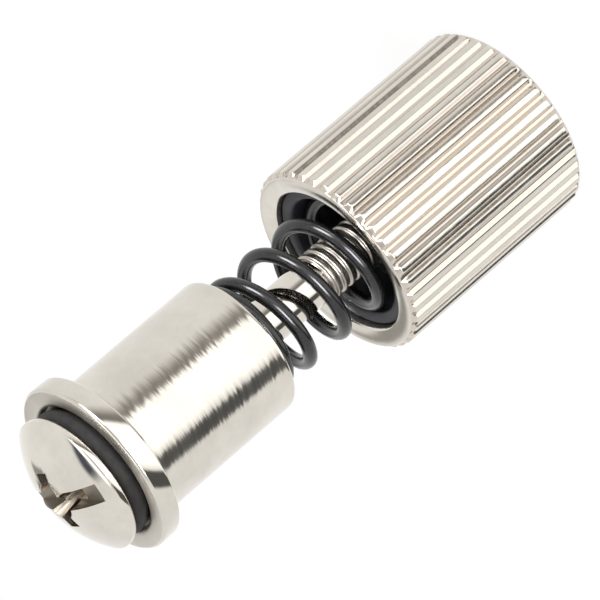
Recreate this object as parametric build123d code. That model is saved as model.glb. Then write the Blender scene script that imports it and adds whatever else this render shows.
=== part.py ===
from build123d import *
from math import cos, pi, radians, sin, tan
import os

# Spring-loaded captive thumb screw: a domed screw through a flanged sleeve, held by a knurled cup knob.
#
# The part stands on the flat end of its knob.  The origin is the centre of that end, and +Z runs along the
# screw towards its domed head.  All sizes are in millimetres.

# ---------------------------------------------------------------- driving dimensions

# screw
SHOULDER_RADIUS = 2.0        # ground land under the head, runs in the sleeve
SHOULDER_LENGTH = 9.5
SHANK_RADIUS = 1.75          # relieved shank between land and thread
THREAD_RADIUS = 1.95         # crest of the thread, modelled plain
THREAD_PROUD = 2.5           # thread showing above the knob's mouth
THREAD_TIP_CHAMFER = 0.4
HEAD_RADIUS = 5.42
HEAD_RIM = 0.55              # straight edge of the head
HEAD_DOME = 1.95             # rise of the dome above that edge
HEAD_EDGE = 0.2              # break on the rim's lower edge

# combined slot and cross recess in the head; depths are measured from the top of the dome
SLOT_WIDTH = 1.45
SLOT_DEPTH = 1.2             # its level floor runs out on the dome at both ends
RECESS_SPAN = 6.3            # cross, tip to tip at the top of the dome
RECESS_WING = 1.3            # width of one wing
RECESS_WING_DEPTH = 1.9
RECESS_FLARE = 26.5          # slope of the wing ends, degrees from the axis
RECESS_CORE = 1.5            # radius of the flared middle at the top
RECESS_CORE_FOOT = 1.1       # and at its floor
RECESS_CORE_DEPTH = 2.5
RECESS_POINT = 0.5           # pointed floor below the middle
RECESS_TURN = 71.0           # direction of one wing about the axis, degrees; the slot lies across it

# sleeve
SLEEVE_RADIUS = 5.5
BARREL_LENGTH = 12.75
BARREL_EDGE = 0.4            # break on the free edge
FLANGE_RADIUS = 6.82
FLANGE_THICKNESS = 1.65
FLANGE_EDGE = 0.18           # break on both edges of the rim
SEAT_DEPTH = 0.6             # recess for the seal in the flange
SEAT_EDGE = 0.35             # lead-in at the mouth of that recess

# seal
SEAL_SECTION = 0.85          # radius of the rubber's round section
SEAL_RADIUS = 4.28           # from the axis to the middle of that section
SEAL_FLATS = 12              # sides that stand for the round section, two of them level

# spring
WIRE_RADIUS = 0.52
ACTIVE_TURNS = 5.0
CLOSED_TURNS = 0.75          # flat turn at each end
RAMP_TURNS = 0.5             # easing from the flat turn to the full pitch
POINTS_PER_TURN = 8
WIRE_FLATS = 8               # sides that stand for the round wire

# knob
KNOB_LENGTH = 17.5
CUP_WALL = 1.7
CUP_FLOOR = 6.0              # solid end that takes the thread
KNOB_EDGE = 0.4              # chamfer on both outer edges
MOUTH_EDGE = 0.15            # break on the inner edge of the mouth
KNURL_COUNT = 40             # straight grooves along the knob, with a flat-topped rib between each two
KNURL_MOUTH = 0.76           # width of one groove at the knob's outside
KNURL_FLOOR = 0.26           # and at its flat floor
KNURL_DEPTH = 0.22
TIP_COVER = 1.5              # solid knob below the screw's tip

# liner
LINER_FLOOR = 1.0
LINER_WALL = 1.0             # side of the liner, around the spring
LINER_SETBACK = 0.7          # bare metal lip of the cup above the liner

# fits and gaps
RUNNING_CLEARANCE = 0.05     # shoulder in the sleeve
CUP_CLEARANCE = 0.4          # sleeve in the mouth of the cup
COIL_CLEARANCE = 0.4         # spring in the liner
SCREW_CLEARANCE = 0.15       # screw through the floor of the liner
SEAT_CLEARANCE = 0.17        # seal in its recess, all round
SEAL_GAP = 0.02              # seal to the faces above and below it
TIP_GAP = 0.3                # hole below the screw's tip
STOP_GAP = 0.4               # sleeve to liner when fully pressed
PRESS_TRAVEL = 9.8           # how far the knob can be pushed towards the sleeve

# ---------------------------------------------------------------- places worked out from them

cup_radius = SLEEVE_RADIUS + CUP_CLEARANCE
knob_radius = cup_radius + CUP_WALL
liner_bore = cup_radius - LINER_WALL
spring_radius = liner_bore - COIL_CLEARANCE - WIRE_RADIUS    # from the axis to the middle of the wire
sleeve_bore = SHOULDER_RADIUS + RUNNING_CLEARANCE
seat_radius = SEAL_RADIUS + SEAL_SECTION + SEAT_CLEARANCE

liner_floor_z = CUP_FLOOR + LINER_FLOOR
liner_mouth_z = KNOB_LENGTH - LINER_SETBACK
sleeve_end_z = liner_mouth_z + STOP_GAP + PRESS_TRAVEL
flange_back_z = sleeve_end_z + BARREL_LENGTH
flange_front_z = flange_back_z + FLANGE_THICKNESS
seal_seat_z = flange_front_z - SEAT_DEPTH
seal_z = seal_seat_z + SEAL_GAP + SEAL_SECTION
head_z = seal_z + SEAL_SECTION + SEAL_GAP
dome_z = head_z + HEAD_RIM
top_z = dome_z + HEAD_DOME
thread_end_z = KNOB_LENGTH + THREAD_PROUD
shoulder_end_z = head_z - SHOULDER_LENGTH


# ---------------------------------------------------------------- knob

def make_knob():
    """Knurled cup with a closed, tapped end."""
    outline = Polyline(
        (0, 0),
        (knob_radius - KNOB_EDGE, 0),
        (knob_radius, KNOB_EDGE),
        (knob_radius, KNOB_LENGTH - KNOB_EDGE),
        (knob_radius - KNOB_EDGE, KNOB_LENGTH),
        (cup_radius + MOUTH_EDGE, KNOB_LENGTH),
        (cup_radius, KNOB_LENGTH - MOUTH_EDGE),
        (cup_radius, CUP_FLOOR),
        (THREAD_RADIUS, CUP_FLOOR),
        (THREAD_RADIUS, TIP_COVER - TIP_GAP),
        (0, TIP_COVER - TIP_GAP),
        close=True,
    )
    cup = revolve(Plane.XZ * make_face(outline), axis=Axis.Z)
    return cup - knurl_grooves()


def knurl_grooves():
    """Straight grooves with sloping walls, evenly spaced and cut along the whole length of the knob."""
    root = knob_radius - KNURL_DEPTH
    tip = knob_radius + KNURL_DEPTH
    foot = KNURL_FLOOR / 2
    brim = KNURL_MOUTH - foot    # the walls carry on outwards at the same slope
    section = Polyline((root, foot), (tip, brim), (tip, -brim), (root, -foot), close=True)
    groove = extrude(make_face(section), amount=KNOB_LENGTH, dir=(0, 0, 1))
    pitch = 360 / KNURL_COUNT
    return [Rot(0, 0, pitch * (i + 0.5)) * groove for i in range(KNURL_COUNT)]


# ---------------------------------------------------------------- liner

def make_liner():
    """Black cup inside the knob: it guides the spring and cushions the end of the sleeve."""
    hole = THREAD_RADIUS + SCREW_CLEARANCE
    outline = Polyline(
        (hole, CUP_FLOOR),
        (cup_radius, CUP_FLOOR),
        (cup_radius, liner_mouth_z),
        (liner_bore, liner_mouth_z),
        (liner_bore, liner_floor_z),
        (hole, liner_floor_z),
        close=True,
    )
    return revolve(Plane.XZ * make_face(outline), axis=Axis.Z)


# ---------------------------------------------------------------- screw

def make_screw():
    """Domed head with a driver's recess, guiding shoulder, relieved shank and plain-modelled thread."""
    sphere_radius = (HEAD_RADIUS**2 + HEAD_DOME**2) / (2 * HEAD_DOME)
    dome_mid = HEAD_RADIUS / 2
    dome_mid_z = top_z - sphere_radius + (sphere_radius**2 - dome_mid**2) ** 0.5
    dome = ThreePointArc((HEAD_RADIUS, dome_z), (dome_mid, dome_mid_z), (0, top_z))
    sides = Polyline(
        (0, top_z),
        (0, TIP_COVER),
        (THREAD_RADIUS - THREAD_TIP_CHAMFER, TIP_COVER),
        (THREAD_RADIUS, TIP_COVER + THREAD_TIP_CHAMFER),
        (THREAD_RADIUS, thread_end_z - (THREAD_RADIUS - SHANK_RADIUS)),
        (SHANK_RADIUS, thread_end_z),
        (SHANK_RADIUS, shoulder_end_z - (SHOULDER_RADIUS - SHANK_RADIUS)),
        (SHOULDER_RADIUS, shoulder_end_z),
        (SHOULDER_RADIUS, head_z),
        (HEAD_RADIUS - HEAD_EDGE, head_z),
        (HEAD_RADIUS, head_z + HEAD_EDGE),
        (HEAD_RADIUS, dome_z),
    )
    body = revolve(Plane.XZ * make_face([dome, sides]), axis=Axis.Z)
    return body - driver_recess()


def driver_recess():
    """A slot right across, two crossed wings with sloping ends, and a deeper middle with a pointed floor."""
    above = 0.5
    slope = tan(radians(RECESS_FLARE))
    top = RECESS_SPAN / 2 + above * slope
    bottom = RECESS_SPAN / 2 - RECESS_WING_DEPTH * slope
    wing_z = top_z - RECESS_WING_DEPTH
    wing_outline = Polyline(
        (-top, top_z + above), (top, top_z + above), (bottom, wing_z), (-bottom, wing_z), close=True
    )
    wing = extrude(Plane.XZ * make_face(wing_outline), amount=RECESS_WING / 2, both=True)
    core_z = top_z - RECESS_CORE_DEPTH
    core_outline = Polyline(
        (0, top_z + above),
        (RECESS_CORE, top_z + above),
        (RECESS_CORE, top_z),
        (RECESS_CORE_FOOT, core_z),
        (0, core_z - RECESS_POINT),
        close=True,
    )
    core = revolve(Plane.XZ * make_face(core_outline), axis=Axis.Z)
    slot_size = (SLOT_WIDTH, 2 * HEAD_RADIUS, SLOT_DEPTH + above)
    slot = Pos(0, 0, top_z + above) * Box(*slot_size, align=(Align.CENTER, Align.CENTER, Align.MAX))
    return Rot(0, 0, RECESS_TURN) * (wing + Rot(0, 0, 90) * wing + core + slot)


# ---------------------------------------------------------------- sleeve

def make_sleeve():
    """Flanged bush that is fixed in the panel, bored for the screw's shoulder."""
    outline = Polyline(
        (sleeve_bore, sleeve_end_z),
        (SLEEVE_RADIUS - BARREL_EDGE, sleeve_end_z),
        (SLEEVE_RADIUS, sleeve_end_z + BARREL_EDGE),
        (SLEEVE_RADIUS, flange_back_z),
        (FLANGE_RADIUS - FLANGE_EDGE, flange_back_z),
        (FLANGE_RADIUS, flange_back_z + FLANGE_EDGE),
        (FLANGE_RADIUS, flange_front_z - FLANGE_EDGE),
        (FLANGE_RADIUS - FLANGE_EDGE, flange_front_z),
        (seat_radius + SEAT_EDGE, flange_front_z),
        (seat_radius, flange_front_z - SEAT_EDGE),
        (seat_radius, seal_seat_z),
        (sleeve_bore, seal_seat_z),
        close=True,
    )
    return revolve(Plane.XZ * make_face(outline), axis=Axis.Z)


# ---------------------------------------------------------------- seal

def make_seal():
    """Rubber ring between the head and the flange."""
    level = Rot(0, 0, 180 / SEAL_FLATS)
    round_section = level * RegularPolygon(SEAL_SECTION, SEAL_FLATS, major_radius=False)
    return revolve(Plane.XZ * Pos(SEAL_RADIUS, seal_z) * round_section, axis=Axis.Z)


# ---------------------------------------------------------------- spring

def make_spring():
    """Right-hand compression spring with a flat turn at each end."""
    low = liner_floor_z + WIRE_RADIUS
    high = sleeve_end_z - WIRE_RADIUS
    pitch = (high - low) / (ACTIVE_TURNS + RAMP_TURNS)
    turns = ACTIVE_TURNS + 2 * RAMP_TURNS + 2 * CLOSED_TURNS

    def rise(from_end):
        """Height gained this many turns from one end of the wire."""
        eased = min(max(from_end - CLOSED_TURNS, 0), RAMP_TURNS)
        full = max(from_end - CLOSED_TURNS - RAMP_TURNS, 0)
        return pitch * (eased**2 / (2 * RAMP_TURNS) + full)

    def wire_point(turn):
        """Middle of the wire this many turns up from the liner."""
        height = low + rise(turn) if turn < turns / 2 else high - rise(turns - turn)
        angle = 2 * pi * turn
        return (spring_radius * cos(angle), spring_radius * sin(angle), height)

    steps = round(turns * POINTS_PER_TURN)
    path = Spline(*[wire_point(turns * i / steps) for i in range(steps + 1)])
    section = Plane(origin=path @ 0, z_dir=path % 0) * RegularPolygon(WIRE_RADIUS, WIRE_FLATS)
    return sweep(section, path=path)


# ---------------------------------------------------------------- the pieces

PIECES = {
    "knurled_knob": make_knob,
    "knob_liner": make_liner,
    "captive_screw": make_screw,
    "flanged_sleeve": make_sleeve,
    "seal_ring": make_seal,
    "return_spring": make_spring,
}

os.makedirs("parts", exist_ok=True)
for name, make in PIECES.items():
    solid = make()
    solid.label = name
    export_step(solid, f"parts/{name}.step")
    print(f"{name}: {solid.volume:.1f} mm3")
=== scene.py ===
# %% [markdown]
# # A spring-loaded captive thumb screw
#
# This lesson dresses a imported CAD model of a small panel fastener. A domed screw passes through a
# flanged sleeve and is screwed into a knurled cup, and a black spring pushes the two apart. The CAD model
# says where each piece is and how it moves. The pieces made here have the fine shape and the finish:
# knurling, thread, turning marks, polished edges. Everything is in metres, and +Z runs along the screw
# towards its head.

# %% The frame
from math import asin, cos, pi, radians, sin, tan

import bpy
from mathutils import Matrix, Vector


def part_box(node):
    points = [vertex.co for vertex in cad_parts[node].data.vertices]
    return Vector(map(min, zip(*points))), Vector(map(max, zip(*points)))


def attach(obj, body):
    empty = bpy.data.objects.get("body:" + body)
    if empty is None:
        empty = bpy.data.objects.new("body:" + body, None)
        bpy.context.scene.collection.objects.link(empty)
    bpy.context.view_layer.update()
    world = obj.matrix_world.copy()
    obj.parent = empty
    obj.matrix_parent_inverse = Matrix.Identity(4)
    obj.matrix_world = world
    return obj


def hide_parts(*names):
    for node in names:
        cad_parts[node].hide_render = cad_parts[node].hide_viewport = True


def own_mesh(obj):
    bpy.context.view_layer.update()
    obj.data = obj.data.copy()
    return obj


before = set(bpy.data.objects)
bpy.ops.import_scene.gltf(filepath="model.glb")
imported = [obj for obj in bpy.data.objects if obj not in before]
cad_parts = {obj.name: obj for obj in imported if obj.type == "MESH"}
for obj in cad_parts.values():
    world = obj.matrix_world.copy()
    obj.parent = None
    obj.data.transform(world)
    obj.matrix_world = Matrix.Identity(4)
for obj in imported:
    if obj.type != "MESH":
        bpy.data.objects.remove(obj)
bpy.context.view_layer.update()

MM = 0.001
print("CAD nodes:", sorted(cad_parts))

# %% [markdown]
# ## Places taken from the frame
#
# A piece that replaces a CAD node has to lie in the same place, so the heights are read from the nodes'
# boxes. Only what a box can't say, such as a wall or the width of a groove, is written here as a size.

# %% Places
knob_low, knob_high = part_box("knurled_knob")
liner_low, liner_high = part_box("knob_liner")
screw_low, screw_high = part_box("captive_screw")
sleeve_low, sleeve_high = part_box("flanged_sleeve")
seal_low, seal_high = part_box("seal_ring")

knob_end = knob_low.z
knob_mouth = knob_high.z
knob_radius = 7.6 * MM
cup_radius = liner_high.x
flange_radius = sleeve_high.x
head_radius = screw_high.x
print(f"knob {knob_mouth / MM:.2f} mm long, flange {2 * flange_radius / MM:.2f} mm across")

# %% [markdown]
# ## The camera
#
# The part is small and was looked at from well back, so its far end is hardly smaller than its near end.
# That calls for a long lens. The camera stands off to the +X side and above, so that the head's dome and
# the inside of the cup both show, and it is rolled so that the part lies on a slant. Its place is worked
# out from the point that it looks at, a direction and a distance, and two small shifts centre the part.

# %% Camera
aim = Vector((0, 0, 23 * MM))
rise_angle = radians(24.4)
distance = 400.2 * MM
roll = radians(-130.64)
shift_right = 1.40 * MM
shift_up = 0.70 * MM

towards_camera = Vector((cos(rise_angle), 0, sin(rise_angle)))
level_right = Vector((0, 1, 0))
level_up = Vector((-sin(rise_angle), 0, cos(rise_angle)))
camera_right = level_right * cos(roll) + level_up * sin(roll)
camera_up = level_up * cos(roll) - level_right * sin(roll)

bpy.ops.object.camera_add()
camera = bpy.context.object
camera.name = "camera"
turn_to_view = Matrix((camera_right, camera_up, towards_camera)).transposed()
place = aim + towards_camera * distance + camera_right * shift_right + camera_up * shift_up
camera.matrix_world = Matrix.Translation(place) @ turn_to_view.to_4x4()
camera.data.sensor_width = 36
camera.data.lens = 345.8
camera.data.clip_start = 0.01
camera.data.clip_end = 10
bpy.context.scene.camera = camera
print("camera stands at", [round(c, 3) for c in place])

# %% [markdown]
# ## Floor
#
# The part stands on a plain white floor. Only the camera's rays are shown a mix that is nearly pure
# light, so the floor reads as white paper while the part's shadow still falls on it. Polished metal would
# mirror the floor as one flat white, so the floor is left out of reflections, and the studio around it
# shows instead.

# %% Floor
lit_share = 0.85
bpy.ops.mesh.primitive_plane_add(size=4, location=(0, 0, knob_end))
floor = bpy.context.object
floor.name = "floor"
floor.visible_glossy = False

floor_paper = bpy.data.materials.new("floor_paper")
floor_paper.use_nodes = True
nodes, links = floor_paper.node_tree.nodes, floor_paper.node_tree.links
nodes.clear()
paper = nodes.new("ShaderNodeBsdfDiffuse")
paper.inputs["Color"].default_value = (0.9, 0.9, 0.9, 1)
white = nodes.new("ShaderNodeEmission")
white.inputs["Strength"].default_value = 1.0
path = nodes.new("ShaderNodeLightPath")
share = nodes.new("ShaderNodeMath")
share.operation = "MULTIPLY"
share.inputs[1].default_value = lit_share
mix = nodes.new("ShaderNodeMixShader")
out = nodes.new("ShaderNodeOutputMaterial")
links.new(path.outputs["Is Camera Ray"], share.inputs[0])
links.new(share.outputs[0], mix.inputs[0])
links.new(paper.outputs[0], mix.inputs[1])
links.new(white.outputs[0], mix.inputs[2])
links.new(mix.outputs[0], out.inputs["Surface"])
floor.data.materials.append(floor_paper)
print(f"the floor is {lit_share:.0%} light to the camera, and plain paper to everything else")

# %% [markdown]
# ## The studio that the metal mirrors
#
# Polished metal has hardly any colour of its own: it shows what stands around it. A photographer builds a
# white tent, hangs a lit panel in it and adds a few dark cards, so that the round parts get edges. Here
# that tent is the world, and only reflections see it. A card's place is given by two angles. Azimuth and
# elevation suit the upright walls, and for the faces that look up there is an angle that runs from the far
# horizon over the top to the camera's side, with another one sideways.

# %% Angles of the world
world = bpy.data.worlds.new("studio")
bpy.context.scene.world = world
world.use_nodes = True
nodes, links = world.node_tree.nodes, world.node_tree.links
nodes.clear()


def sum_node(operation, first, second=None):
    """A math node of the world, whose inputs are numbers or other nodes' outputs."""
    node = nodes.new("ShaderNodeMath")
    node.operation = operation
    for socket, value in zip(node.inputs, (first, second)):
        if isinstance(value, (int, float)):
            socket.default_value = value
        elif value is not None:
            links.new(value, socket)
    return node.outputs[0]


direction = nodes.new("ShaderNodeTexCoord")
split = nodes.new("ShaderNodeSeparateXYZ")
links.new(direction.outputs["Generated"], split.inputs[0])
azimuth = sum_node("ARCTAN2", split.outputs["Y"], split.outputs["X"])
elevation = sum_node("ARCSINE", split.outputs["Z"])
over_the_top = sum_node("ARCTAN2", split.outputs["Z"], sum_node("MULTIPLY", split.outputs["X"], -1))
sideways = sum_node("ARCSINE", split.outputs["Y"])
print("four angles of the world take", len(nodes), "nodes")

# %% [markdown]
# ### Hanging a card
#
# A card is a soft-edged patch of one colour, where a band of one angle crosses a band of another. A map
# range with smooth steps makes a band, and a colour mix hangs the card in front of what is there already.


# %% Helpers for cards
def soft_band(angle, middle, half, softness):
    """1 where an angle is within half of middle, falling softly to 0, all in degrees."""
    apart = sum_node("ABSOLUTE", sum_node("SUBTRACT", angle, radians(middle)))
    edge = nodes.new("ShaderNodeMapRange")
    edge.interpolation_type = "SMOOTHSTEP"
    edge.inputs["From Min"].default_value = radians(half + softness / 2)
    edge.inputs["From Max"].default_value = radians(half - softness / 2)
    links.new(apart, edge.inputs["Value"])
    return edge.outputs["Result"]


def hang(under, colour, *bands):
    """Hangs a card or a panel of one colour, where both bands meet, in front of what is there."""
    blend = nodes.new("ShaderNodeMix")
    blend.data_type = "RGBA"
    factor, below, above = blend.inputs[0], blend.inputs[6], blend.inputs[7]
    links.new(sum_node("MULTIPLY", *bands), factor)
    if isinstance(under, tuple):
        below.default_value = under
    else:
        links.new(under, below)
    above.default_value = colour
    return blend.outputs[2]


# %% [markdown]
# ### The low cards
#
# The camera looks down, so an upright wall mirrors a part of the tent that lies as far below the horizon.
# A bright panel hangs there, with a warm grey card on one side of it and a nearly black one on the other,
# and they draw the stripes along the barrel and the rim. The grey card is the overlap of two bands, so
# one of its edges is sharp and the other fades. All three hang at a slant: turning lines tilt a reflection
# up and down, and a slanted edge turns that into the small steps that a turned surface shows.

# %% Low cards
tent = (1.04, 1.04, 1.04, 1)
bright_panel = (1.85, 1.85, 1.85, 1)
warm_grey_card = (0.30, 0.28, 0.265, 1)
black_card = (0.11, 0.11, 0.11, 1)
mirrored_dip = 24
slant = 1.2

above_dip = sum_node("ADD", elevation, radians(mirrored_dip))
leaning = sum_node("SUBTRACT", azimuth, sum_node("MULTIPLY", above_dip, slant))
low = soft_band(elevation, -30, 52, 20)
seen = hang(tent, bright_panel, soft_band(leaning, -8, 34, 24), low)
fading = sum_node("MULTIPLY", soft_band(leaning, 57.5, 34, 8), soft_band(leaning, 10.5, 34, 28))
seen = hang(seen, warm_grey_card, fading, low)
seen = hang(seen, black_card, soft_band(leaning, -61.5, 12.5, 6), low)
print(f"three low cards lean by {slant} degrees for each degree of elevation")

# %% [markdown]
# ### The cards overhead and at the back
#
# The head's dome mirrors what is overhead: a narrow bright panel, with a grey card on the camera's side of
# it and a dark one on its far side, which together draw one crisp highlight with a dark edge. The knob's
# flat mouth mirrors a small place low at the back. Two grey cards there keep it from being plain white.
# They are small, so that most of the place where the dome would mirror them too is cut away by the
# driver's recess.

# %% Overhead cards
for name, colour, over, along in (
    ("grey card on the near side", (0.7, 0.69, 0.68, 1), (114, 11, 3), (10, 45, 20)),
    ("bright panel", (2.2, 2.2, 2.2, 1), (101.3, 5, 3), (10, 28, 12)),
    ("dark card on the far side", (0.10, 0.11, 0.14, 1), (92, 4.2, 5), (12, 18, 16)),
    ("grey card for the mouth", (0.38, 0.375, 0.36, 1), (25, 9, 4), (8.5, 7, 3)),
    ("darker card for the mouth", (0.28, 0.275, 0.26, 1), (14, 3.5, 3), (2, 6, 3)),
):
    seen = hang(seen, colour, soft_band(over_the_top, *over), soft_band(sideways, *along))
    print(f"{name}: {over[0]} degrees over the top")

# %% [markdown]
# ### Strip lights for the wire
#
# Glossy black wire shows nothing but its highlights, and it needs strong lights for them. Two strips hang
# above the horizon on the camera's side, where neither the upright walls nor the flat faces mirror them,
# but a round wire does.

# %% Strip lights
strip_light = (24, 24, 25, 1)
strip_rise = 25
for strip in ((-20, 20, 16), (52, 16, 12)):
    seen = hang(seen, strip_light, soft_band(azimuth, *strip), soft_band(elevation, strip_rise, 10, 10))
    print(f"strip light: {strip[0]} degrees round, {strip_rise} degrees up")

# %% [markdown]
# ### Who sees what
#
# A Light Path node tells the rays apart. Reflections see the tent and its cards, matt surfaces get plain
# even light, and the camera sees plain white.

# %% Rays of the world
even_light = 0.75
mirrored = nodes.new("ShaderNodeBackground")
links.new(seen, mirrored.inputs["Color"])
even = nodes.new("ShaderNodeBackground")
even.inputs["Color"].default_value = (1, 1, 1, 1)
even.inputs["Strength"].default_value = even_light
backdrop = nodes.new("ShaderNodeBackground")
backdrop.inputs["Color"].default_value = (1, 1, 1, 1)
backdrop.inputs["Strength"].default_value = 1.0
path = nodes.new("ShaderNodeLightPath")
for_gloss = nodes.new("ShaderNodeMixShader")
links.new(path.outputs["Is Glossy Ray"], for_gloss.inputs[0])
links.new(even.outputs[0], for_gloss.inputs[1])
links.new(mirrored.outputs[0], for_gloss.inputs[2])
for_camera = nodes.new("ShaderNodeMixShader")
links.new(path.outputs["Is Camera Ray"], for_camera.inputs[0])
links.new(for_gloss.outputs[0], for_camera.inputs[1])
links.new(backdrop.outputs[0], for_camera.inputs[2])
out = nodes.new("ShaderNodeOutputWorld")
links.new(for_camera.outputs[0], out.inputs["Surface"])

bpy.context.scene.view_settings.view_transform = "Standard"
print("the whole studio takes", len(nodes), "nodes")

# %% [markdown]
# ## Lamps
#
# Two large soft lamps give the matt pieces their shape. Polished metal would mirror each lamp as a white
# square, so the lamps, like the floor, are left out of reflections.

# %% Lamps
for name, spot, side, power in (
    ("soft_box_above", (0.10, -0.06, 0.36), 0.20, 0.9),
    ("soft_box_side", (0.22, 0.26, 0.16), 0.16, 0.5),
):
    bpy.ops.object.light_add(type="AREA", location=spot)
    lamp = bpy.context.object
    lamp.name = name
    lamp.data.shape = "SQUARE"
    lamp.data.size = side
    lamp.data.energy = power
    lamp.rotation_euler = (Vector(spot) - aim).to_track_quat("Z", "Y").to_euler()
    lamp.visible_glossy = False
    print(f"{name}: {power} W, {side} m across")

# %% [markdown]
# ## A lathe made of rings
#
# Nearly everything here is turned on a lathe. A lathe shape can be spun from a profile, but then the count
# of corners round it can't be matched to the knurling. So a ring of points is started at the first place
# of the outline, and is extruded and scaled from place to place, as you would with E and S. The outline
# runs anticlockwise when seen with the axis on the left, and it may end where it began, which closes the
# shell.


# %% Turning helpers
def start_ring(name, radius, height, corners):
    """A new object whose mesh is one ring of points, left in edit mode with the ring selected."""
    bpy.ops.object.select_all(action="DESELECT")
    bpy.ops.mesh.primitive_circle_add(vertices=corners, radius=radius, location=(0, 0, height))
    piece = bpy.context.object
    piece.name = piece.data.name = name
    bpy.ops.object.transform_apply(location=True, rotation=True, scale=True)
    bpy.ops.object.mode_set(mode="EDIT")
    bpy.ops.mesh.select_all(action="SELECT")
    return piece


def draw_ring_to(old, new):
    """Extrudes the selected ring from one (radius, height) to another."""
    bpy.ops.mesh.extrude_region_move(TRANSFORM_OT_translate={"value": (0, 0, new[1] - old[1])})
    grow = new[0] / old[0]
    bpy.ops.transform.resize(value=(grow, grow, 1), center_override=(0, 0, new[1]))


def close_holes():
    """Fills each open end of the shell in edit mode with one flat face."""
    bpy.ops.mesh.select_all(action="SELECT")
    bpy.ops.mesh.fill_holes(sides=0)


def turn_piece(name, outline, corners):
    """A turned piece from an outline of (radius, height) places, left in object mode."""
    piece = start_ring(name, *outline[0], corners)
    for old, new in zip(outline, outline[1:]):
        draw_ring_to(old, new)
    bpy.ops.mesh.select_all(action="SELECT")
    bpy.ops.mesh.remove_doubles(threshold=0.0005 * MM)
    close_holes()
    bpy.ops.mesh.select_all(action="SELECT")
    bpy.ops.mesh.normals_make_consistent(inside=False)
    bpy.ops.object.mode_set(mode="OBJECT")
    print(f"{name}: {len(piece.data.polygons)} faces")
    return piece


def quarter_round(radius, height, size, steps=5, inward=False):
    """Places on a quarter circle that rounds a corner at (radius, height), in the outline's order."""
    turns = [pi / 2 * step / steps for step in range(steps + 1)]
    if inward:
        return [(radius + size * (1 - sin(t)), height - size * (1 - cos(t))) for t in turns]
    return [(radius - size * (1 - sin(t)), height + size * (1 - cos(t))) for t in turns]


# %% [markdown]
# ### Edges and places
#
# No real edge is quite sharp, and a broken edge is what catches the light. So each piece gets a bevel on
# its sharp edges, and then its flat faces are kept flat by weighted normals. At the end a piece gets its
# material, the CAD node that it stands for is hidden, and it is hung on the body that it moves with.


# %% Finishing helpers
def use_modifier(piece, kind, **settings):
    """Adds a modifier with these settings and applies it."""
    bpy.ops.object.select_all(action="DESELECT")
    piece.select_set(True)
    bpy.context.view_layer.objects.active = piece
    modifier = piece.modifiers.new(kind.lower(), kind)
    for key, value in settings.items():
        setattr(modifier, key, value)
    bpy.ops.object.modifier_apply(modifier=modifier.name)


def shade_smooth(piece, sharper_than=35):
    """Shades a piece smooth, but keeps the edges that are sharper than an angle."""
    bpy.ops.object.select_all(action="DESELECT")
    piece.select_set(True)
    bpy.context.view_layer.objects.active = piece
    bpy.ops.object.shade_smooth_by_angle(angle=radians(sharper_than))


def soften_edges(piece, width, steps=2, sharper_than=28):
    """Breaks every edge sharper than an angle, then shades what is left smooth."""
    use_modifier(piece, "BEVEL", width=width, segments=steps, limit_method="ANGLE",
                 angle_limit=radians(sharper_than))
    shade_smooth(piece)
    use_modifier(piece, "WEIGHTED_NORMAL", keep_sharp=True)


def finish_piece(piece, material, node, body):
    """Gives a piece its material, hides the CAD node that it stands for and hangs it on the body it moves
    with.
    """
    piece.data.materials.clear()
    piece.data.materials.append(material)
    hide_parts(node)
    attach(piece, body)


# %% [markdown]
# ## Finishes
#
# The metal is steel with a warm nickel plating. Where it is turned, the tool leaves fine lines round the
# axis, and they break a reflection's edge into small steps. Where it is polished, only faint wear is left.
# Both come from one recipe: noise that is squeezed along Z, on Object coordinates, drives a small bump and
# a small change of roughness. The numbers that are the same all over are set on the shader itself.


# %% Helpers for finishes
def new_finish(name, **constants):
    """A material with one Principled shader, whose own sockets get the constants."""
    finish = bpy.data.materials.new(name)
    finish.use_nodes = True
    shader = finish.node_tree.nodes["Principled BSDF"]
    for key, value in constants.items():
        shader.inputs[key.replace("_", " ")].default_value = value
    return finish, shader


def noise(finish, stretch, detail=3.0, rough=0.6):
    """Noise in Object coordinates, with so many cells to the metre along each axis."""
    tree = finish.node_tree
    place = tree.nodes.new("ShaderNodeTexCoord")
    fit = tree.nodes.new("ShaderNodeMapping")
    fit.inputs["Scale"].default_value = stretch
    grain = tree.nodes.new("ShaderNodeTexNoise")
    grain.inputs["Scale"].default_value = 1.0
    grain.inputs["Detail"].default_value = detail
    grain.inputs["Roughness"].default_value = rough
    tree.links.new(place.outputs["Object"], fit.inputs["Vector"])
    tree.links.new(fit.outputs[0], grain.inputs["Vector"])
    return grain.outputs["Fac"]


def spread(finish, value, low, high, from_low=0.3, from_high=0.7):
    """Maps a value, such as a noise, to a range."""
    ranged = finish.node_tree.nodes.new("ShaderNodeMapRange")
    ranged.inputs["From Min"].default_value = from_low
    ranged.inputs["From Max"].default_value = from_high
    ranged.inputs["To Min"].default_value = low
    ranged.inputs["To Max"].default_value = high
    finish.node_tree.links.new(value, ranged.inputs["Value"])
    return ranged.outputs["Result"]


def tint(finish, value, dark, light):
    """Blends two colours by a noise."""
    ramp = finish.node_tree.nodes.new("ShaderNodeValToRGB")
    ramp.color_ramp.elements[0].position = 0.35
    ramp.color_ramp.elements[0].color = dark
    ramp.color_ramp.elements[1].position = 0.65
    ramp.color_ramp.elements[1].color = light
    finish.node_tree.links.new(value, ramp.inputs["Fac"])
    return ramp.outputs["Color"]


def bump(finish, shader, height, depth, under=None):
    """Bump of this depth in metres, which may lie on another bump under it."""
    bumps = finish.node_tree.nodes.new("ShaderNodeBump")
    bumps.inputs["Distance"].default_value = depth
    bumps.inputs["Strength"].default_value = 1.0
    finish.node_tree.links.new(height, bumps.inputs["Height"])
    if under is not None:
        finish.node_tree.links.new(under, bumps.inputs["Normal"])
    finish.node_tree.links.new(bumps.outputs[0], shader.inputs["Normal"])
    return bumps.outputs[0]
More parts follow.
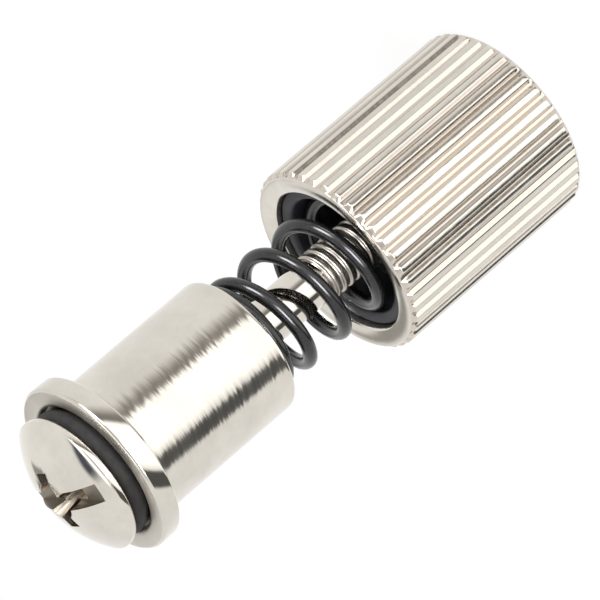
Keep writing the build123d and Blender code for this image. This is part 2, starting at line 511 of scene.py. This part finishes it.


# %% [markdown]
# ### Nickel, from polished to punched
# The same plating looks different on each face. The barrel keeps its turning lines, the flange's rim and
# the head are polished, and the flange's top, where the seal sits, is dull. Threads and punched recesses
# are never rubbed, so they are rougher, and they are given darker colours as painted shade: the thread
# lies inside the spring, and the recess and the seal's seat lie in shade. So one function takes the
# roughness, the depth and the pitch of the turning lines, the depth of the small dents and, for such
# faces, a colour.

# %% Nickel finishes
rubbed_plating = (0.62, 0.585, 0.525)
# The next two colours are painted shade: a darker one for the thread inside the spring, and a much darker
# one for the driver's recess and the seal's seat.
thread_shade_plating = (0.46, 0.43, 0.38)
shaded_plating = (0.23, 0.20, 0.16)
patina_contrast = 1.14
least_wear, most_wear = 0.8, 1.25
PATINA_CELLS, LINE_CELLS, DENT_CELLS = 260, 140, 900


def nickel(name, roughness, line_depth, line_pitch, dent_depth, dark=rubbed_plating):
    """A metal finish, where line_pitch is the spacing of the turning lines along Z."""
    finish, shader = new_finish(name, Metallic=1.0)
    light = [patina_contrast * part for part in dark]
    patina = noise(finish, (PATINA_CELLS, PATINA_CELLS, PATINA_CELLS), detail=4.0)
    colour = tint(finish, patina, (*dark, 1), (*light, 1))
    finish.node_tree.links.new(colour, shader.inputs["Base Color"])
    lines = noise(finish, (LINE_CELLS, LINE_CELLS, 1 / line_pitch), detail=1.0, rough=0.45)
    wear = spread(finish, lines, roughness * least_wear, roughness * most_wear)
    finish.node_tree.links.new(wear, shader.inputs["Roughness"])
    turned = bump(finish, shader, lines, line_depth)
    dents = noise(finish, (DENT_CELLS, DENT_CELLS, DENT_CELLS), detail=2.0)
    bump(finish, shader, dents, dent_depth, under=turned)
    print(f"{name}: lines {line_pitch / MM:.2f} mm apart, roughness {roughness}")
    return finish


turned_nickel = nickel("turned_nickel", roughness=0.13, line_depth=0.0135 * MM,
                       line_pitch=0.33 * MM, dent_depth=0.002 * MM)
flange_nickel = nickel("flange_nickel", roughness=0.08, line_depth=0.001 * MM,
                       line_pitch=0.20 * MM, dent_depth=0.002 * MM)
polished_nickel = nickel("polished_nickel", roughness=0.06, line_depth=0.0003 * MM,
                         line_pitch=0.15 * MM, dent_depth=0.001 * MM)
# A rough punched finish, whose dark colour is painted shade for the recess and for the seat's wall and
# floor.
shaded_punched_nickel = nickel("shaded_punched_nickel", roughness=0.35, line_depth=0.001 * MM,
                        line_pitch=0.12 * MM, dent_depth=0.002 * MM, dark=shaded_plating)
seat_nickel = nickel("seat_nickel", roughness=0.45, line_depth=0.0005 * MM,
                     line_pitch=0.12 * MM, dent_depth=0.001 * MM)
# The thread's darker colour is painted shade for the thread, which lies inside the spring and the cup.
threaded_nickel = nickel("threaded_nickel", roughness=0.35, line_depth=0.001 * MM,
                         line_pitch=0.12 * MM, dent_depth=0.003 * MM, dark=thread_shade_plating)
knurled_nickel = nickel("knurled_nickel", roughness=0.15, line_depth=0.002 * MM,
                        line_pitch=0.30 * MM, dent_depth=0.005 * MM)

# %% [markdown]
# ### Dull plating and painted shade in the grooves
#
# Fingers rub the ribs of the knob bright, and the floors of its grooves stay dull. Their darker, warmer
# colour is also painted shade, which stands in for the shade deep in the grooves. All the grooves lie on
# one ring about the axis, so no second material is needed: the colour follows the distance from the axis.


# %% Dull grooves
def shade_and_dull_ring(finish, colour, low, high, inner_fade, outer_fade):
    """Puts a darker colour, dull plating and painted shade, on the ring between two radii, fading over two
    widths.
    """
    tree = finish.node_tree
    base = tree.nodes["Principled BSDF"].inputs["Base Color"]
    bright_colour = base.links[0].from_socket
    place = tree.nodes.new("ShaderNodeTexCoord")
    flat = tree.nodes.new("ShaderNodeMapping")
    flat.inputs["Scale"].default_value = (1, 1, 0)
    reach = tree.nodes.new("ShaderNodeVectorMath")
    reach.operation = "LENGTH"
    tree.links.new(place.outputs["Object"], flat.inputs["Vector"])
    tree.links.new(flat.outputs[0], reach.inputs[0])
    beyond = spread(finish, reach.outputs["Value"], 0, 1, from_low=high - outer_fade, from_high=high)
    within = spread(finish, reach.outputs["Value"], 1, 0, from_low=low - inner_fade, from_high=low)
    bright = tree.nodes.new("ShaderNodeMath")
    bright.operation = "MAXIMUM"
    tree.links.new(beyond, bright.inputs[0])
    tree.links.new(within, bright.inputs[1])
    mixed = tree.nodes.new("ShaderNodeMix")
    mixed.data_type = "RGBA"
    mixed.inputs[6].default_value = colour
    tree.links.new(bright.outputs[0], mixed.inputs[0])
    tree.links.new(bright_colour, mixed.inputs[7])
    tree.links.new(mixed.outputs[2], base)


# This groove colour is partly dull plating and partly painted shade for the depth of the grooves.
shade_and_dull_plating = (0.62, 0.56, 0.49, 1)
shaded_from = knob_radius - 0.31 * MM
shaded_to = knob_radius - 0.02 * MM
shade_and_dull_ring(knurled_nickel, shade_and_dull_plating, shaded_from, shaded_to, inner_fade=0.07 * MM, outer_fade=0.06 * MM)
print(f"the knob is dull from {shaded_from / MM:.2f} to {shaded_to / MM:.2f} mm off its axis")

# %% [markdown]
# ### Three blacks
#
# The spring's wire is oiled and glossy, the liner is moulded plastic whose grain flows along the axis, and
# the seal is matt rubber with a faint pale bloom. One noise gives each its colour and its bump.


# %% Black finishes
def black_finish(name, roughness, ior, stretch, detail, dark, light, grain_depth):
    """A black finish, whose one noise gives both its colour and its bump."""
    finish, shader = new_finish(name, Roughness=roughness, IOR=ior)
    grain = noise(finish, stretch, detail=detail)
    colour = tint(finish, grain, (*dark, 1), (*light, 1))
    finish.node_tree.links.new(colour, shader.inputs["Base Color"])
    bump(finish, shader, grain, grain_depth)
    print(f"{name}: roughness {roughness}")
    return finish


black_wire = black_finish(
    "black_wire", roughness=0.18, ior=1.5, stretch=(1500, 1500, 1500), detail=3.0,
    dark=(0.009, 0.009, 0.010), light=(0.017, 0.017, 0.018), grain_depth=0.0015 * MM)
black_plastic = black_finish(
    "black_plastic", roughness=0.5, ior=1.45, stretch=(700, 700, 120), detail=3.0,
    dark=(0.016, 0.017, 0.021), light=(0.027, 0.028, 0.033), grain_depth=0.006 * MM)
black_rubber = black_finish(
    "black_rubber", roughness=0.7, ior=1.3, stretch=(1200, 1200, 1200), detail=4.0,
    dark=(0.018, 0.0175, 0.017), light=(0.030, 0.029, 0.028), grain_depth=0.008 * MM)

# %% [markdown]
# ## The knurled knob
#
# The knob is a cup with forty straight grooves rolled into its side. Forty cutters and a boolean would do
# it, but they leave a mesh that is hard to bevel. Here each ring of the lathe shape already has ten points
# for every groove. They will be drawn in towards the axis by a table of depths, from the middle of a
# groove to the middle of a rib: a flat floor, a steep wall and a slightly rounded top. The ribs have many
# rings, so that their edges can wander a little along their length.

# %% Knob
GROOVES = 40
POINTS_PER_GROOVE = 10
RIB_STEPS = 56
groove_depths = [0.285 * MM, 0.285 * MM, 0.15 * MM, 0.02 * MM, 0.005 * MM]
groove_floor = knob_radius - groove_depths[0]
knob_edge = 0.4 * MM
edge_run_out = knob_edge - groove_depths[0]
mouth_slope = 0.16 * MM
mouth_chamfer = 0.1 * MM
chamfer_depth = 0.15 * MM
screw_hole = 2.0 * MM
screw_hole_depth = 4.8 * MM
rib_low = knob_end + knob_edge
rib_high = knob_mouth - knob_edge

knob_outline = [
    (knob_radius - knob_edge, knob_end),
    (groove_floor, knob_end + edge_run_out),
]
for step in range(RIB_STEPS + 1):
    knob_outline.append((knob_radius, rib_low + (rib_high - rib_low) * step / RIB_STEPS))
knob_outline += [
    (groove_floor, knob_mouth - edge_run_out),
    (knob_radius - knob_edge, knob_mouth),
    (cup_radius + mouth_chamfer, knob_mouth - mouth_slope),
    (cup_radius, knob_mouth - mouth_slope - chamfer_depth),
    (cup_radius, liner_low.z),
    (screw_hole, liner_low.z),
    (screw_hole, liner_low.z - screw_hole_depth),
]
knob_corners = GROOVES * POINTS_PER_GROOVE
knob = turn_piece("knob_shell", knob_outline, knob_corners)

# %% [markdown]
# ### Drawing in the grooves
#
# A point's angle says how many steps it lies from the middle of the nearest groove. All the points with
# the same count are selected at once, and are scaled in towards the axis by their depth.

# %% Grooves
slack = 0.01 * MM
pitch_angle = 2 * pi / GROOVES
step_angle = 2 * pi / knob_corners


def steps_from_groove(corner):
    """How many points of the ring lie between a point and the middle of its nearest groove."""
    angle = Vector((0, 1)).angle_signed(corner.co.xy)
    return abs(angle % pitch_angle - pitch_angle / 2) / step_angle


def select_on_ribs(low_steps, high_steps, low_height, high_height):
    """Selects the knob's outermost points that lie so many steps from a groove, and enters edit mode."""
    bpy.context.view_layer.objects.active = knob
    bpy.ops.object.mode_set(mode="EDIT")
    bpy.ops.mesh.select_mode(type="VERT")
    bpy.ops.mesh.select_all(action="DESELECT")
    bpy.ops.object.mode_set(mode="OBJECT")
    chosen = 0
    for corner in knob.data.vertices:
        if corner.co.xy.length > knob_radius - slack and low_height < corner.co.z < high_height:
            corner.select = low_steps < steps_from_groove(corner) < high_steps
            chosen += corner.select
    bpy.ops.object.mode_set(mode="EDIT")
    return chosen


for step, depth in enumerate(groove_depths):
    drawn_in = select_on_ribs(step - 0.5, step + 0.5, knob_end, knob_mouth)
    draw_in = 1 - depth / knob_radius
    bpy.ops.transform.resize(value=(draw_in, draw_in, 1), center_override=(0, 0, 0))
    bpy.ops.object.mode_set(mode="OBJECT")
    print(f"step {step}: {drawn_in} points drawn in by {depth / MM:.3f} mm")

# %% [markdown]
# ### Wear
#
# A rolled knurl is never quite even: the edges of the ribs wander by some thousandths of a millimetre, and
# that is what breaks up their highlights. The points along the tops of the ribs are moved a little at
# random, with a fixed seed, and then every sharp edge is broken.

# %% Wear on the ribs
wander = 0.005 * MM
kept_end = 0.1 * MM
rib_edge_step = len(groove_depths) - 1
worn = select_on_ribs(rib_edge_step - 0.5, rib_edge_step + 1.5, rib_low + kept_end, rib_high - kept_end)
bpy.ops.transform.vertex_random(offset=wander, uniform=1.0, normal=0.0, seed=7)
bpy.ops.object.mode_set(mode="OBJECT")
print(f"{worn} points moved along the tops of the ribs")
soften_edges(knob, width=0.015 * MM)
finish_piece(knob, knurled_nickel, "knurled_knob", "plunger")

# %% [markdown]
# ## The liner
#
# A black plastic cup sits inside the knob and guides the spring. Its mouth is rounded so that the sleeve
# can slide in without catching.

# %% Liner
liner_bore = 4.9 * MM
liner_hole = 2.1 * MM
liner_base = 1.0 * MM
liner_floor = liner_low.z + liner_base
lip = 0.2 * MM
liner = turn_piece("liner_cup", [
    (liner_hole, liner_low.z),
    (cup_radius, liner_low.z),
    (cup_radius, liner_high.z - lip),
    (cup_radius - lip, liner_high.z),
    (liner_bore + lip, liner_high.z),
    (liner_bore, liner_high.z - lip),
    (liner_bore, liner_floor),
    (liner_hole, liner_floor),
    (liner_hole, liner_low.z),
], corners=160)
soften_edges(liner, width=0.12 * MM, steps=3)
finish_piece(liner, black_plastic, "knob_liner", "plunger")

# %% [markdown]
# ## The sleeve
#
# The sleeve is the part that is fixed in a panel. Its barrel is left as it was turned, and its flange is
# polished, with a shallow seat for the seal. The two finishes are two shells, and the barrel's end lies a
# little way inside the flange, so that no gap shows between them.

# %% Barrel
sleeve_corners = 240
sleeve_radius = 5.5 * MM
sleeve_bore = 2.05 * MM
barrel_edge = 0.4 * MM
flange_thickness = 1.65 * MM
barrel_overlap = 0.3 * MM
flange_back = sleeve_high.z - flange_thickness
barrel_end = flange_back + barrel_overlap
outline = [(sleeve_bore, sleeve_low.z)]
outline += quarter_round(sleeve_radius, sleeve_low.z, barrel_edge)
outline += [(sleeve_radius, barrel_end), (sleeve_bore, barrel_end), (sleeve_bore, sleeve_low.z)]
barrel = turn_piece("sleeve_barrel", outline, sleeve_corners)
soften_edges(barrel, width=0.06 * MM, steps=3)
finish_piece(barrel, turned_nickel, "flanged_sleeve", "sleeve")

# %% [markdown]
# ### The flange
#
# The flange is a thick washer with broken edges. The mouth of its seat is rounded, which leads the seal
# into place, and the seat's floor lies just clear of the rubber. The rounding is a few places of the
# outline, so the bevel that breaks the other edges leaves it alone.

# %% Flange
seat_radius = 5.3 * MM
seat_edge = 0.38 * MM
seal_gap = 0.02 * MM
seat_floor = seal_low.z - seal_gap
flange_edge = 0.18 * MM
outline = [
    (sleeve_bore, flange_back),
    (flange_radius - flange_edge, flange_back),
    (flange_radius, flange_back + flange_edge),
    (flange_radius, sleeve_high.z - flange_edge),
    (flange_radius - flange_edge, sleeve_high.z),
]
outline += quarter_round(seat_radius, sleeve_high.z, seat_edge, inward=True)
outline += [(seat_radius, seat_floor), (sleeve_bore, seat_floor), (sleeve_bore, flange_back)]
flange = turn_piece("sleeve_flange", outline, sleeve_corners)
soften_edges(flange, width=0.05 * MM, steps=3)
finish_piece(flange, flange_nickel, "flanged_sleeve", "sleeve")

# %% [markdown]
# ### The seat's finishes
#
# Only the flange's rim is polished. Its top is dull, and the wall and the floor of the seat, which lie in
# the shade under the seal and the head, get the punched finish, whose dark colour is painted shade there.
# A face is picked by its place: inside the polished rim and no lower than the seat's floor, and then
# outside or inside the seat's radius.

# %% Seat
flange.data.materials.append(seat_nickel)
flange.data.materials.append(shaded_punched_nickel)
DULL_TOP, SHADED_SEAT = 1, 2
rim_inside = flange_radius - flange_edge
seat_bottom = seat_floor - 0.1 * MM
for face in flange.data.polygons:
    out_to = face.center.xy.length
    if out_to < rim_inside and face.center.z > seat_bottom:
        # Faces inside the seat's radius get the punched finish, whose dark colour is painted shade.
        face.material_index = DULL_TOP if out_to > seat_radius + slack else SHADED_SEAT
dull_faces = sum(face.material_index > 0 for face in flange.data.polygons)
print(f"{dull_faces} of the flange's faces aren't polished")

# %% [markdown]
# ## The seal
#
# The rubber is squeezed between the head and the flange, so its section is an oval that is a little wider
# than it is high. It is a lathe shape whose outline goes all the way round and closes on itself.

# %% Seal
SECTION_POINTS = 32
seal_clearance = 0.09 * MM
half_width = 0.93 * MM
half_height = (seal_high.z - seal_low.z) / 2
seal_middle = (seal_low.z + seal_high.z) / 2
section_radius = seat_radius - seal_clearance - half_width
section = []
for index in range(SECTION_POINTS + 1):
    angle = 2 * pi * index / SECTION_POINTS
    section.append((section_radius + half_width * cos(angle), seal_middle + half_height * sin(angle)))
seal = turn_piece("seal_rubber_ring", section, corners=160)
shade_smooth(seal, sharper_than=60)
finish_piece(seal, black_rubber, "seal_ring", "seal")

# %% [markdown]
# ## The screw
#
# The head is a shallow dome, so its rings follow a circle whose radius comes from the head's width and the
# dome's rise. Below it are the ground shoulder, the thinner shank and the core of the thread.

# %% Screw body
head_edge = 0.22 * MM
rim_height = 0.55 * MM
head_back = seal_high.z + seal_gap
head_rim = head_back + rim_height
dome_rise = 1.95 * MM
sphere = (head_radius**2 + dome_rise**2) / (2 * dome_rise)
dome_steps = 20
dome_half_angle = asin(head_radius / sphere)
dome = []
for step in range(dome_steps):
    angle = dome_half_angle * (1 - step / dome_steps)
    dome.append((sphere * sin(angle), head_rim + dome_rise - sphere * (1 - cos(angle))))

shoulder_radius = 2.0 * MM
shank_radius = 1.75 * MM
core_radius = 1.72 * MM
shoulder_length = 9.5 * MM
shoulder_chamfer = 0.25 * MM
tip_chamfer = 0.3 * MM
thread_past_knob = 2.5 * MM
thread_run_out = 0.15 * MM
shoulder_end = head_back - shoulder_length
thread_end = knob_mouth + thread_past_knob
screw = turn_piece("screw_body", [
    (core_radius - tip_chamfer, screw_low.z),
    (core_radius, screw_low.z + tip_chamfer),
    (core_radius, thread_end - thread_run_out),
    (shank_radius, thread_end),
    (shank_radius, shoulder_end - shoulder_chamfer),
    (shoulder_radius, shoulder_end),
    (shoulder_radius, head_back),
] + quarter_round(head_radius, head_back, head_edge) + dome, corners=192)

# %% [markdown]
# ### The driver's recess
#
# The head takes a flat blade as well as a cross: a slot with a level floor runs out on the dome at both
# ends, and a cross goes deeper in the middle. Each cutter is a solid that stands through the dome. A wing
# is a cube whose lower face is drawn in so that its ends slope, and the middle is a tapered core with a
# pointed floor.

# %% Recess cutters
recess_turn = radians(71)
dome_top = head_rim + dome_rise
headroom = 0.5 * MM
recess_top = dome_top + headroom
end_steepness = tan(radians(26.5))


def make_wing(name, length, width, depth, turn, end_slope=0.0, side_draw=1.0):
    """A block that cuts to this depth, with sloping ends and its sides drawn in by a factor."""
    foot = dome_top - depth
    bpy.ops.object.select_all(action="DESELECT")
    bpy.ops.mesh.primitive_cube_add(size=1, location=(0, 0, (recess_top + foot) / 2))
    wing = bpy.context.object
    wing.name = name
    long_top = length + 2 * (recess_top - dome_top) * end_slope
    long_foot = length - 2 * depth * end_slope
    wing.scale = (long_top, width, recess_top - foot)
    bpy.ops.object.transform_apply(location=True, rotation=True, scale=True)
    for corner in wing.data.vertices:
        corner.select = corner.co.z < dome_top - depth / 2
    bpy.ops.object.mode_set(mode="EDIT")
    bpy.ops.mesh.select_mode(type="VERT")
    bpy.ops.transform.resize(value=(long_foot / long_top, side_draw, 1), center_override=(0, 0, 0))
    bpy.ops.object.mode_set(mode="OBJECT")
    wing.rotation_euler.z = turn
    bpy.ops.object.transform_apply(location=True, rotation=True, scale=True)
    return wing


across = recess_turn + pi / 2
wing_size = {"length": 6.4 * MM, "width": 1.4 * MM, "depth": 1.9 * MM}
core_floor = dome_top - 2.5 * MM
core_point = core_floor - 0.5 * MM
point_radius, foot_radius, mouth_radius = 0.05 * MM, 1.1 * MM, 1.5 * MM
cutters = [
    make_wing("slot", length=12 * MM, width=1.45 * MM, depth=1.3 * MM, turn=across),
    make_wing("wing_a", **wing_size, turn=recess_turn, end_slope=end_steepness, side_draw=0.85),
    make_wing("wing_b", **wing_size, turn=across, end_slope=end_steepness, side_draw=0.85),
    turn_piece("recess_core", [
        (point_radius, core_point),
        (foot_radius, core_floor),
        (mouth_radius, dome_top),
        (mouth_radius, recess_top),
    ], corners=48),
]
for cutter in cutters:
    use_modifier(screw, "BOOLEAN", object=cutter, operation="DIFFERENCE", solver="EXACT")
    bpy.data.objects.remove(cutter)
soften_edges(screw, width=0.05 * MM, steps=2, sharper_than=25)
finish_piece(screw, polished_nickel, "captive_screw", "plunger")
print(f"head with its recess: {len(screw.data.polygons)} faces")

# %% [markdown]
# ### Punched faces
#
# The recess is punched and not polished, so its faces are rough, and their darker colour is painted shade
# for the inside of the recess. They are the faces of the head that lie deeper than a thin skin under the
# dome's sphere: either anywhere away from the rim and the back, or deep down in the core.

# %% Punched faces
# The punched finish's dark colour is painted shade inside the recess.
screw.data.materials.append(shaded_punched_nickel)
sphere_centre = Vector((0, 0, dome_top - sphere))
skin = 0.03 * MM
punched_radius = head_radius - 0.4 * MM
punched_low = head_back + 0.02 * MM
core_reach = 1.2 * MM
core_low = core_floor - 0.6 * MM
punched = 0
for face in screw.data.polygons:
    out_to = face.center.xy.length
    sunk = sphere - (face.center - sphere_centre).length
    away = out_to < punched_radius and face.center.z > punched_low
    deep = out_to < core_reach and face.center.z > core_low
    if sunk > skin and (away or deep):
        face.material_index = 1
        punched += 1
print(f"{punched} faces are dull")

# %% [markdown]
# ### The thread
#
# A rolled thread has rounded crests and roots. Its outline over one pitch is a wave whose top and bottom
# are clipped flat. The wave is a ring of points with a straight back, and the Screw modifier carries it
# round the screw and up one pitch a turn. The ridge is a closed solid of its own that lies on the screw's
# core, with its back sunk in it.

# %% Thread
WAVE_POINTS = 17
thread_pitch = 0.7 * MM
thread_turns = 26
crest_radius = 1.95 * MM
ridge_height = 0.16 * MM
ridge_sunk = 0.2 * MM
ridge_share = 0.98
free_turn = 0.35
clip = 0.9
wave_low = crest_radius - ridge_height
thread_start = thread_end - (thread_turns + free_turn) * thread_pitch

bpy.ops.object.select_all(action="DESELECT")
bpy.ops.mesh.primitive_circle_add(vertices=WAVE_POINTS + 2, radius=1, location=(0, 0, 0))
thread = bpy.context.object
thread.name = thread.data.name = "thread_ridge"
for index, corner in enumerate(thread.data.vertices):
    on_wave = index < WAVE_POINTS
    along = index / (WAVE_POINTS - 1) if on_wave else WAVE_POINTS + 1 - index
    swell = min(max(0.5 - clip * cos(2 * pi * along), 0), 1) if on_wave else 0
    back = 0 if on_wave else ridge_sunk
    radius = wave_low + (crest_radius - wave_low) * swell - back
    corner.co = (radius, 0, thread_start + (along - 0.5) * ridge_share * thread_pitch)
use_modifier(thread, "SCREW", screw_offset=thread_pitch, iterations=thread_turns, steps=64,
             render_steps=64, angle=2 * pi, axis="Z")
bpy.ops.object.mode_set(mode="EDIT")
close_holes()
bpy.ops.mesh.select_all(action="SELECT")
bpy.ops.mesh.normals_make_consistent(inside=False)
bpy.ops.object.mode_set(mode="OBJECT")
shade_smooth(thread, sharper_than=50)
finish_piece(thread, threaded_nickel, "captive_screw", "plunger")
print(f"thread: {thread_turns} turns, {len(thread.data.polygons)} faces")

# %% [markdown]
# ## The spring
#
# The wire climbs at an even pitch in the middle and lies flat for most of a turn at each end. A Screw
# modifier only knows one pitch, so the middle line is a curve whose points come from a loop, and the
# curve's own round bevel is the wire.

# %% Spring
POINTS_PER_TURN = 72
wire_radius = 0.52 * MM
coil_radius = 3.98 * MM
active_turns, closed_turns, ramp_turns = 5.0, 0.75, 0.5
bottom = liner_floor + wire_radius
top = sleeve_low.z - wire_radius
spring_pitch = (top - bottom) / (active_turns + ramp_turns)
all_turns = active_turns + 2 * (closed_turns + ramp_turns)


def climb(turns_in):
    """Height gained so many turns from one end of the wire."""
    eased = min(max(turns_in - closed_turns, 0), ramp_turns)
    full = max(turns_in - closed_turns - ramp_turns, 0)
    return spring_pitch * (eased**2 / (2 * ramp_turns) + full)


bpy.ops.object.select_all(action="DESELECT")
bpy.ops.curve.primitive_nurbs_path_add(radius=1)
spring = bpy.context.object
spring.name = spring.data.name = "spring_wire"
spring.data.splines.clear()
line = spring.data.splines.new("POLY")
line_points = round(all_turns * POINTS_PER_TURN)
line.points.add(line_points)
for index, point in enumerate(line.points):
    turn = all_turns * index / line_points
    height = bottom + climb(turn) if turn < all_turns / 2 else top - climb(all_turns - turn)
    angle = 2 * pi * turn
    point.co = (coil_radius * cos(angle), coil_radius * sin(angle), height, 1)
spring.data.bevel_depth = wire_radius
spring.data.bevel_resolution = 6
spring.data.use_fill_caps = True
bpy.ops.object.convert(target="MESH")
spring = bpy.context.object
shade_smooth(spring, sharper_than=40)
finish_piece(spring, black_wire, "return_spring", "sleeve")
print(f"spring: {all_turns} turns, pitch {spring_pitch / MM:.2f} mm")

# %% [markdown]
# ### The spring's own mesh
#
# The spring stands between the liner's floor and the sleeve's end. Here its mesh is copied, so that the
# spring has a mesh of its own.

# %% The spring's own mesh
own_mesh(spring)
